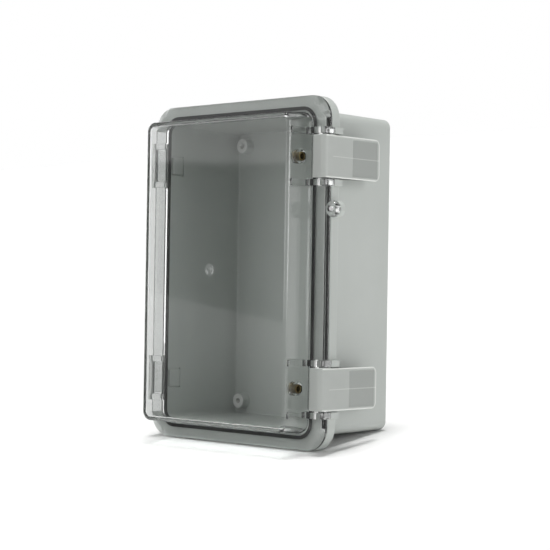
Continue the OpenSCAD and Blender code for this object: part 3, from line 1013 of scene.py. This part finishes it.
def soft_range(tree, value, stretch, low, high):
    """Value brought softly from a stretch into a range and held beyond its ends."""
    span = node(tree, "ShaderNodeMapRange", interpolation_type="SMOOTHSTEP",
                From_Min=stretch[0], From_Max=stretch[1], To_Min=low, To_Max=high)
    wire(tree, (value, span.inputs["Value"]))
    return span.outputs[0]


def bumped(tree, shader, height, strength, distance):
    """Height joined to a shader's normal through a bump."""
    bump = node(tree, "ShaderNodeBump", Strength=strength, Distance=distance)
    wire(tree, (height, bump.inputs["Height"]), (bump.outputs[0], shader.inputs["Normal"]))


def dress(tree, shader, colour, roughness):
    """Colour and roughness joined to a shader."""
    wire(tree, (colour, shader.inputs["Base Color"]), (roughness, shader.inputs["Roughness"]))


def tray_material(colours):
    """Light grey moulded plastic: satin grain, soft clouds in tone and gloss, a trace of dust, and painted
    light on the posts' tops and in their holes.
    """
    material, tree, shader = new_material("Grey moulding")
    grain = place_group(tree, moulded_grain(), Grain_scale=2400.0, Cloud_scale=22.0)
    dust = place_group(tree, settled_dust(), Speck_scale=1100.0, Amount=0.25)
    lightened = ranged(tree, grain.outputs["Tone"], 0.2, 0.55)
    roughness = ranged(tree, grain.outputs["Tone"], 0.46, 0.36)
    tone = mix_colour(tree, lightened, colours.body, colours.body_worn)
    # Painted light on the tops of the posts and in their holes
    posts = mix_colour(tree, mask(tree, "post_painted_light"), tone, colours.post_painted_light)
    colour = mix_colour(tree, dust.outputs["Mask"], posts, colours.dust)
    dress(tree, shader, colour, roughness)
    bumped(tree, shader, grain.outputs["Height"], strength=0.12, distance=0.08 * MM)
    return material


def latch_material(colours):
    """Light grey moulded plastic of the latches: painted highlight along the edges and the middle line,
    painted shade in the thumb recess, which is also matt.
    """
    material, tree, shader = new_material("Latch moulding")
    grain = place_group(tree, moulded_grain(), Grain_scale=3000.0, Cloud_scale=40.0)
    dust = place_group(tree, settled_dust(), Speck_scale=1300.0, Amount=0.2)
    thumb = mask(tree, "thumb")
    clouds = ranged(tree, grain.outputs["Tone"], 0.0, 0.12)
    recess_shade_share = ranged(tree, thumb, 0.0, 0.9)
    edge_highlight = ranged(tree, mask(tree, "edge"), 0.0, 0.9)
    line_highlight = ranged(tree, mask(tree, "line"), 0.0, 0.5)
    roughness = ranged(tree, thumb, 0.34, 0.52)
    tone = mix_colour(tree, clouds, colours.latch, colours.latch_tone_and_highlight)
    # Painted shade in the thumb recess
    recess = mix_colour(tree, recess_shade_share, tone, shaded(colours.latch, 0.8))
    # Painted highlight along the edges and on the middle line
    lightened = mix_colour(tree, edge_highlight, recess, colours.latch_tone_and_highlight)
    with_line_highlight = mix_colour(tree, line_highlight, lightened, colours.latch_tone_and_highlight)
    colour = mix_colour(tree, dust.outputs["Mask"], with_line_highlight, colours.latch_dust)
    dress(tree, shader, colour, roughness)
    bumped(tree, shader, grain.outputs["Height"], strength=0.1, distance=0.06 * MM)
    return material


def clear_material(colours):
    """Clear polished plastic with faint smears; lamps shine through it with a slight loss."""
    material, tree, shader = new_material("Clear moulding")
    shader.inputs["Base Color"].default_value = (*colours.clear, 1.0)
    shader.inputs["IOR"].default_value = 1.56
    shader.inputs["Transmission Weight"].default_value = 1.0
    grain = place_group(tree, moulded_grain(), Grain_scale=420.0, Cloud_scale=14.0)
    smears = ranged(tree, grain.outputs["Tone"], 0.008, 0.035)
    path = node(tree, "ShaderNodeLightPath")
    through = node(tree, "ShaderNodeBsdfTransparent", Color=(*colours.clear_shade, 1.0))
    mix = node(tree, "ShaderNodeMixShader")
    wire(tree,
         (smears, shader.inputs["Roughness"]),
         (path.outputs["Is Shadow Ray"], mix.inputs[0]),
         (shader.outputs[0], mix.inputs[1]),
         (through.outputs[0], mix.inputs[2]),
         (mix.outputs[0], first_of(tree, "OUTPUT_MATERIAL").inputs["Surface"]))
    return material


def gasket_material(colours):
    """Dark foamed rubber with fine pores."""
    material, tree, shader = new_material("Foamed seal")
    grain = place_group(tree, moulded_grain(), Grain_scale=3600.0, Cloud_scale=120.0)
    tone = grain.outputs["Tone"]
    colour = mix_colour(tree, tone, colours.gasket, shaded(colours.gasket, 1.8))
    roughness = ranged(tree, tone, 0.6, 0.8)
    dress(tree, shader, colour, roughness)
    bumped(tree, shader, grain.outputs["Height"], strength=0.35, distance=0.12 * MM)
    return material


def steel_material(colours):
    """Drawn steel with fine lines along the pin."""
    material, tree, shader = new_material("Drawn pin")
    shader.inputs["Metallic"].default_value = 1.0
    place = node(tree, "ShaderNodeTexCoord")
    stretch = node(tree, "ShaderNodeMapping", Scale=(1.0, 1.0, 0.02))
    lines = node(tree, "ShaderNodeTexNoise", Scale=6000.0, Detail=2.0)
    wire(tree,
         (place.outputs["Object"], stretch.inputs["Vector"]),
         (stretch.outputs[0], lines.inputs["Vector"]))
    tone = lines.outputs[0]
    colour = mix_colour(tree, tone, shaded(colours.steel, 0.75), colours.steel)
    roughness = ranged(tree, tone, 0.2, 0.42)
    dress(tree, shader, colour, roughness)
    bumped(tree, shader, tone, strength=0.1, distance=0.03 * MM)
    return material


def brass_material(colours):
    """Turned brass, browned in patches, with painted shade in the thread."""
    material, tree, shader = new_material("Turned insert")
    shader.inputs["Metallic"].default_value = 1.0
    grain = place_group(tree, moulded_grain(), Grain_scale=5200.0, Cloud_scale=420.0)
    tone = grain.outputs["Tone"]
    in_bore = ranged(tree, mask(tree, "bore"), 0.0, 0.9)
    roughness = ranged(tree, tone, 0.42, 0.6)
    turned = mix_colour(tree, tone, colours.brass, colours.brass_brown)
    # Painted shade in the thread of the hole
    colour = mix_colour(tree, in_bore, turned, colours.bore)
    dress(tree, shader, colour, roughness)
    bumped(tree, shader, grain.outputs["Height"], strength=0.15, distance=0.04 * MM)
    return material


def floor_material(colours):
    """Pale matt floor with faint clouds."""
    material, tree, shader = new_material("Pale floor")
    shader.inputs["Roughness"].default_value = 0.9
    shader.inputs["Specular IOR Level"].default_value = 0.0
    grain = place_group(tree, moulded_grain(), Grain_scale=300.0, Cloud_scale=3.0)
    clouded = mix_colour(tree, grain.outputs["Tone"], colours.floor, shaded(colours.floor, 0.985))
    wire(tree, (clouded, shader.inputs["Base Color"]))
    return material


# Shapes joined to the mouldings and cut from them

def along_z(outline, half, edge):
    """One outline carried along the height of each hinge, with rounded ends."""
    middles = [end * LATCH_PIN.z for end in ENDS.values()]
    return [prism(outline, *rounded_run(middle - half, middle + half, edge)) for middle in middles]


def tray_removed(sizes):
    """Cuts of the tray: the flange on the hinge side and the grooves round the hinge pads."""
    room_side, body_side = room_size(sizes)[0], body_size(sizes)[0]
    straight = BASE_HIGH.z - sizes.flange_radius
    hinge_side = block_outline(-sizes.flange_half - OVER, -body_side - sizes.hinge_rim, BASE_LOW.y - OVER,
                               BASE_LOW.y + sizes.base_flange + OVER, sizes.soft_edge)
    line = sizes.pad_groove
    front = BASE_LOW.y + sizes.pad_in
    edge = line / 4
    groove = block_outline(-room_side - line, -room_side + line, front - line,
                           front + sizes.pad_length + line, edge)
    removed = [prism(hinge_side, *rounded_run(-straight, straight, sizes.soft_edge))]
    return removed + along_z(groove, sizes.pad_half + line, edge)


def tray_added(sizes):
    """Shapes joined to the tray: ribs beside the latches, hinge ears, hinge pads, seal lug and posts."""
    room_side = room_size(sizes)[0]
    edge = sizes.soft_edge / 2
    root = 1 * MM
    rib = block_outline(sizes.flange_half - root, LATCH_HIGH.x, BASE_LOW.y + TUCK,
                        BASE_LOW.y + sizes.base_flange - TUCK, edge)
    front = BASE_LOW.y + sizes.pad_in
    pad = block_outline(-room_side - sizes.wall / 2, -room_side + sizes.pad, front,
                        front + sizes.pad_length, edge)
    added = ribs(rib, sizes, RIB_END) + ribs(base_ear_outline(sizes), sizes, EAR_END)
    added += along_z(pad, sizes.pad_half, edge)
    added.append(lug(sizes, BASE_LOW.y + TUCK, BASE_LOW.y + sizes.lug, sizes.soft_edge))
    side, height = post_place(sizes)
    return added + [post(sizes, x * side, z * height) for x in (-1, 1) for z in (-1, 1)]


def cover_added(sizes, lug_front):
    """Shapes joined to the cover: ribs on flange and window, hinge ears, seal lug and insert bosses."""
    added = ribs(cover_rib_outline(sizes), sizes, RIB_END) + ribs(window_rib_outline(sizes), sizes, RIB_END)
    added += ribs(cover_ear_outline(sizes), sizes, EAR_END)
    added.append(lug(sizes, lug_front, COVER_HIGH.y - TUCK, sizes.lug_edge))
    boss_sunk = 1 * MM
    radius, face = INSERT_RADIUS + sizes.boss_wall, INSERT_HIGH.x - boss_sunk
    return added + [bar((0, INSERT_Y, end * LATCH_PIN.z), radius, INSERT_LOW.x, face, X_AXIS)
                    for end in ENDS.values()]


def cover_removed(sizes, face, lug_front):
    """Cuts of the cover: the seal hole, the seats of the inserts and room for the latches and straps."""
    barrel = LATCH_PIN.y - LATCH_LOW.y
    nose_reach = (barrel - sizes.latch_nose) * sqrt(2) + sizes.latch_nose
    gaps = ((LATCH_PIN, nose_reach, RIB_END), (COVER_PIN, COVER_PIN.x - STRAP_LOW.x, EAR_END))
    removed = [bar(SEAL_LINE, sizes.lug_hole, face - 2 * OVER, COVER_HIGH.y + OVER, Y_AXIS),
               countersink(sizes, lug_front)]
    for end in ENDS.values():
        middle = end * LATCH_PIN.z
        seat = (0, INSERT_Y, middle)
        removed.append(bar(seat, INSERT_RADIUS, INSERT_LOW.x - OVER, INSERT_HIGH.x + OVER, X_AXIS))
        for pin, radius, outer in gaps:
            low, high = middle - outer + sizes.rib, middle + outer - sizes.rib
            removed.append(bar((pin.x, pin.y, 0), radius + sizes.relief, low, high, Z_AXIS))
    return removed


def cover_notches(sizes, face):
    """Gaps for the straps in the hinge side of the flange, and the grooves beside its bevel."""
    notch = block_outline(-sizes.flange_half - OVER, STRAP_LOW.x + sizes.strap + sizes.relief, face - OVER,
                          COVER_HIGH.y + OVER, sizes.soft_edge / 2)
    return along_z(notch, EAR_END - sizes.rib, sizes.soft_edge / 2) + edge_grooves(sizes, face)


# Operators

class BOX_OT_tray(bpy.types.Operator):
    """Make the grey tray with its flange, ribs, hinge ears, pads, posts and seal lug"""

    bl_idname = "distribution_box.tray"
    bl_label = "Tray"

    def execute(self, context):
        sizes = context.scene.box_sizes
        flange_back = BASE_LOW.y + sizes.base_flange
        hole = bar(SEAL_LINE, sizes.lug_hole, BASE_LOW.y - OVER, flange_back + OVER, Y_AXIS)
        steps = [("DIFFERENCE", tray_removed(sizes)), ("UNION", tray_added(sizes)), ("DIFFERENCE", [hole])]
        piece = moulded("base_tray", ring_shell(tray_profile(sizes)), steps)
        marks = {"post_painted_light": post_painted_light_mask(piece.data, sizes)}
        finished(piece, tray_material(context.scene.box_colours), "base", "base_box", marks)
        return {"FINISHED"}


class BOX_OT_cover(bpy.types.Operator):
    """Make the clear cover with its window, ribs, hinge ears, insert bosses and seal lug"""

    bl_idname = "distribution_box.cover"
    bl_label = "Clear cover"

    def execute(self, context):
        sizes = context.scene.box_sizes
        face = COVER_HIGH.y - sizes.cover_flange
        lug_front = face - sizes.lug_rise
        steps = [("UNION", cover_added(sizes, lug_front)),
                 ("DIFFERENCE", cover_removed(sizes, face, lug_front)),
                 ("DIFFERENCE", cover_notches(sizes, face))]
        piece = moulded("clear_cover", cover_surface(sizes), steps)
        finished(piece, clear_material(context.scene.box_colours), "cover", "cover")
        return {"FINISHED"}


class BOX_OT_gasket(bpy.types.Operator):
    """Make the foamed seal in the groove of the cover"""

    bl_idname = "distribution_box.gasket"
    bl_label = "Gasket"

    def execute(self, context):
        piece = mesh_object("gasket_seal", ring_shell(gasket_profile(context.scene.box_sizes), closed=True))
        finished(piece, gasket_material(context.scene.box_colours), "cover", "gasket")
        return {"FINISHED"}


class BOX_OT_latches(bpy.types.Operator):
    """Make the two lever latches"""

    bl_idname = "distribution_box.latches"
    bl_label = "Latches"

    def execute(self, context):
        material = latch_material(context.scene.box_colours)
        for name, end in ENDS.items():
            surface, marks = latch_surface(context.scene.box_sizes, end)
            piece = mesh_object(f"lever_latch_{name}", surface)
            finished(piece, material, f"latch_{name}", f"latch_{name}", marks)
        return {"FINISHED"}


class BOX_OT_hinges(bpy.types.Operator):
    """Make the two hinge straps"""

    bl_idname = "distribution_box.hinges"
    bl_label = "Hinge straps"

    def execute(self, context):
        material = bpy.data.materials.get("Clear moulding") or clear_material(context.scene.box_colours)
        for name, end in ENDS.items():
            piece = mesh_object(f"strap_{name}", strap_surface(context.scene.box_sizes, end))
            finished(piece, material, "base", f"hinge_strap_{name}")
        return {"FINISHED"}


class BOX_OT_pins(bpy.types.Operator):
    """Make the steel pins of the latches and hinges"""

    bl_idname = "distribution_box.pins"
    bl_label = "Pins"

    def execute(self, context):
        material = steel_material(context.scene.box_colours)
        rows = (("latch_pin", LATCH_PIN, RIB_END, "cover"), ("hinge_cover_pin", COVER_PIN, EAR_END, "base"),
                ("hinge_base_pin", BASE_PIN, EAR_END, "base"))
        for kind, place, outer, body in rows:
            for name, end in ENDS.items():
                piece = mesh_object(f"{kind}_{name}_drawn", pin_surface(place, end, outer))
                finished(piece, material, body, f"{kind}_{name}")
        return {"FINISHED"}


class BOX_OT_inserts(bpy.types.Operator):
    """Make the threaded brass inserts in the side of the window"""

    bl_idname = "distribution_box.inserts"
    bl_label = "Inserts"

    def execute(self, context):
        material = brass_material(context.scene.box_colours)
        for name, end in ENDS.items():
            surface, marks = insert_surface(context.scene.box_sizes, end)
            piece = mesh_object(f"insert_{name}_turned", surface)
            finished(piece, material, "cover", f"insert_{name}", marks)
        return {"FINISHED"}


# Stage: lamps and the room that mirrors show

# Name, direction, spread in degrees and level of each lamp
LAMPS = (
    ("Top light", (0.0, -0.03, 1.0), 12, 0.84),
    ("Latch side light", (1.0, 0.0, 0.25), 36, 0.28),
    ("Hinge side light", (-1.0, 0.15, 0.2), 60, 0.25),
    ("Front light", (-0.25, -1.0, 0.35), 40, 0.2),
)
# Stretches of height in a direction over which the mirrored room changes
PANEL_EDGE = (0.073, 0.08)
DIM_ABOVE = (0.2, 0.4)
LAMP_ABOVE = (0.8, 0.86)
# How much the table's edge sinks towards the latch side, and its stretches of height along that slant
TABLE_SLANT = 0.3
TABLE_EDGE = (-0.2245, -0.227)
TABLE_FADE = (-0.3, -0.2255)
# Stretches along X and along Y where the dark room ends
FRONT_EDGE = (-0.672, -0.655)
SIDE_FADE = (-0.66, -0.35)


def soft_sun(name, place, spread, level):
    """Broad sun from a direction.

    The level is the light on a face that looks at it, where 1 shows a colour as it is.
    """
    lamp = bpy.data.lights.new(name, "SUN")
    lamp.angle = radians(spread)
    lamp.energy = level * pi
    holder = bpy.data.objects.new(name, lamp)
    holder.matrix_world = Vector(place).to_track_quat("Z", "Y").to_matrix().to_4x4()
    bpy.context.scene.collection.objects.link(holder)


def backdrop_rays(tree, path):
    """Share that is 1 for camera, mirror and see-through rays, and 0 for the light that falls on things."""
    seen = node(tree, "ShaderNodeMath", operation="MAXIMUM")
    shown = node(tree, "ShaderNodeMath", operation="MAXIMUM")
    wire(tree,
         (path.outputs["Is Camera Ray"], seen.inputs[0]),
         (path.outputs["Is Glossy Ray"], seen.inputs[1]),
         (seen.outputs[0], shown.inputs[0]),
         (path.outputs["Is Transmission Ray"], shown.inputs[1]))
    return shown.outputs[0]


class BOX_OT_stage(bpy.types.Operator):
    """Make the floor that the box leans on, the lamps, the world and the camera"""

    bl_idname = "distribution_box.stage"
    bl_label = "Stage"

    def execute(self, context):
        scene = context.scene
        scene.view_settings.view_transform = "Standard"
        self.make_floor(scene.box_sizes, scene.box_stage.floor_size, floor_material(scene.box_colours))
        for lamp in LAMPS:
            soft_sun(*lamp)
        self.make_world(scene)
        self.make_camera(scene, scene.box_stage)
        return {"FINISHED"}

    def make_floor(self, sizes, floor_size, material):
        """Floor through the lower edges of the flange and of the back, on which the box leans."""
        flange_edge = Vector((0, BASE_LOW.y + sizes.base_flange, BASE_LOW.z))
        back_edge = Vector((0, 0, BASE_LOW.z + sizes.rim_end + sizes.body_draft))
        side = Vector((1, 0, 0)) * floor_size / 2
        ahead = (back_edge - flange_edge).normalized() * floor_size / 2
        corners = [flange_edge + across * side + along * ahead
                   for across, along in ((-1, -1), (1, -1), (1, 1), (-1, 1))]
        mesh = bpy.data.meshes.new("floor")
        mesh.from_pydata([tuple(corner) for corner in corners], [], [(0, 1, 2, 3)])
        mesh.materials.append(material)
        floor = bpy.data.objects.new("floor", mesh)
        bpy.context.scene.collection.objects.link(floor)

    def make_world(self, scene):
        """World that is white to the eye, with an even soft light.

        Mirrors see it greyer to the front, and to the front left a dark room between a pale panel and a
        table.
        """
        world = bpy.data.worlds.new("Studio")
        world.use_nodes = True
        scene.world = world
        tree = world.node_tree
        lit = first_of(tree, "BACKGROUND")
        lit.inputs["Color"].default_value = (*[scene.box_stage.even_light] * 3, 1.0)
        white = node(tree, "ShaderNodeBackground", Color=(1.0, 1.0, 1.0, 1.0))
        mirrored = node(tree, "ShaderNodeBackground")
        place = node(tree, "ShaderNodeTexCoord")
        parts = node(tree, "ShaderNodeSeparateXYZ")
        path = node(tree, "ShaderNodeLightPath")
        behind = node(tree, "ShaderNodeMixShader")
        pick = node(tree, "ShaderNodeMixShader")
        wire(tree,
             (place.outputs["Generated"], parts.inputs[0]),
             (self.mirrored_room(tree, parts), mirrored.inputs["Color"]),
             (path.outputs["Is Camera Ray"], behind.inputs[0]),
             (mirrored.outputs[0], behind.inputs[1]),
             (white.outputs[0], behind.inputs[2]),
             (backdrop_rays(tree, path), pick.inputs[0]),
             (lit.outputs[0], pick.inputs[1]),
             (behind.outputs[0], pick.inputs[2]),
             (pick.outputs[0], first_of(tree, "OUTPUT_WORLD").inputs["Surface"]))

    def mirrored_room(self, tree, parts):
        """Brightness of the room by direction: pale panel, table below a slanted edge, dark between them.

        Above the panel the room is dim up to a lamp overhead.
        """
        x, y, z = (parts.outputs[axis] for axis in "XYZ")
        dark, pale, front, white = 0.1, 0.76, 0.55, 1.0
        dimmed, lamp_glow = 0.35, 0.65
        table_far, table_near = 0.05, 0.35
        slanted = node(tree, "ShaderNodeMath", operation="MULTIPLY_ADD")
        slanted.inputs[1].default_value = TABLE_SLANT
        wire(tree, (x, slanted.inputs[0]), (z, slanted.inputs[2]))
        table_share = soft_range(tree, slanted.outputs[0], TABLE_EDGE, 0.0, 1.0)
        table_tone = soft_range(tree, slanted.outputs[0], TABLE_FADE, table_far, table_near)
        panel = soft_range(tree, z, PANEL_EDGE, dark, pale)
        table = node(tree, "ShaderNodeMath", operation="MULTIPLY_ADD")
        wire(tree, *zip((table_share, table_tone, panel), table.inputs))
        shade = table.outputs[0]
        for direction, stretch, tone in ((x, FRONT_EDGE, front), (y, SIDE_FADE, white)):
            share = soft_range(tree, direction, stretch, 0.0, 1.0)
            mix = node(tree, "ShaderNodeMix", data_type="FLOAT")
            first, second = mix.inputs[2], mix.inputs[3]
            second.default_value = tone
            wire(tree, (share, mix.inputs[0]), (shade, first))
            shade = mix.outputs[0]
        dim = node(tree, "ShaderNodeMath", operation="MULTIPLY")
        lamp = node(tree, "ShaderNodeMath", operation="ADD")
        wire(tree,
             (shade, dim.inputs[0]),
             (soft_range(tree, z, DIM_ABOVE, 1.0, dimmed), dim.inputs[1]),
             (dim.outputs[0], lamp.inputs[0]),
             (soft_range(tree, z, LAMP_ABOVE, 0.0, lamp_glow), lamp.inputs[1]))
        return lamp.outputs[0]

    def make_camera(self, scene, stage):
        """Camera turned by yaw, pitch and roll about the aim, backed off by the distance."""
        view = bpy.data.cameras.new("Camera")
        view.sensor_width = SENSOR
        view.lens = stage.lens
        camera = bpy.data.objects.new("Camera", view)
        turn = Euler((pi / 2 - stage.pitch, 0, stage.yaw)).to_matrix() @ Matrix.Rotation(stage.roll, 3, "Z")
        back = turn @ Vector((0, 0, 1))
        camera.matrix_world = Matrix.Translation(Vector(stage.aim) + back * stage.distance) @ turn.to_4x4()
        scene.collection.objects.link(camera)
        scene.camera = camera


OPERATORS = (BOX_OT_stage, BOX_OT_tray, BOX_OT_cover, BOX_OT_gasket, BOX_OT_latches, BOX_OT_hinges,
             BOX_OT_pins, BOX_OT_inserts)


class BOX_PT_panel(bpy.types.Panel):
    """Panel in the sidebar with the pieces of the box"""

    bl_idname = "BOX_PT_panel"
    bl_label = "Distribution Box"
    bl_space_type = "VIEW_3D"
    bl_region_type = "UI"
    bl_category = "Box"

    def draw(self, context):
        for operator in OPERATORS:
            self.layout.operator(operator.bl_idname)


GROUPS = {"box_sizes": BoxSizes, "box_colours": BoxColours, "box_stage": BoxStage}


def register():
    """Register the classes and hang the property groups on the scene."""
    for name, kind in GROUPS.items():
        bpy.utils.register_class(kind)
        setattr(bpy.types.Scene, name, PointerProperty(type=kind))
    for kind in (*OPERATORS, BOX_PT_panel):
        bpy.utils.register_class(kind)


def unregister():
    """Take the classes and the property groups away again."""
    for kind in reversed((*OPERATORS, BOX_PT_panel)):
        bpy.utils.unregister_class(kind)
    for name, kind in GROUPS.items():
        delattr(bpy.types.Scene, name)
        bpy.utils.unregister_class(kind)


def main():
    """Make the stage and every piece."""
    register()
    bpy.ops.distribution_box.stage()
    bpy.ops.distribution_box.tray()
    bpy.ops.distribution_box.cover()
    bpy.ops.distribution_box.gasket()
    bpy.ops.distribution_box.latches()
    bpy.ops.distribution_box.hinges()
    bpy.ops.distribution_box.pins()
    bpy.ops.distribution_box.inserts()


if __name__ == "__main__":
    main()
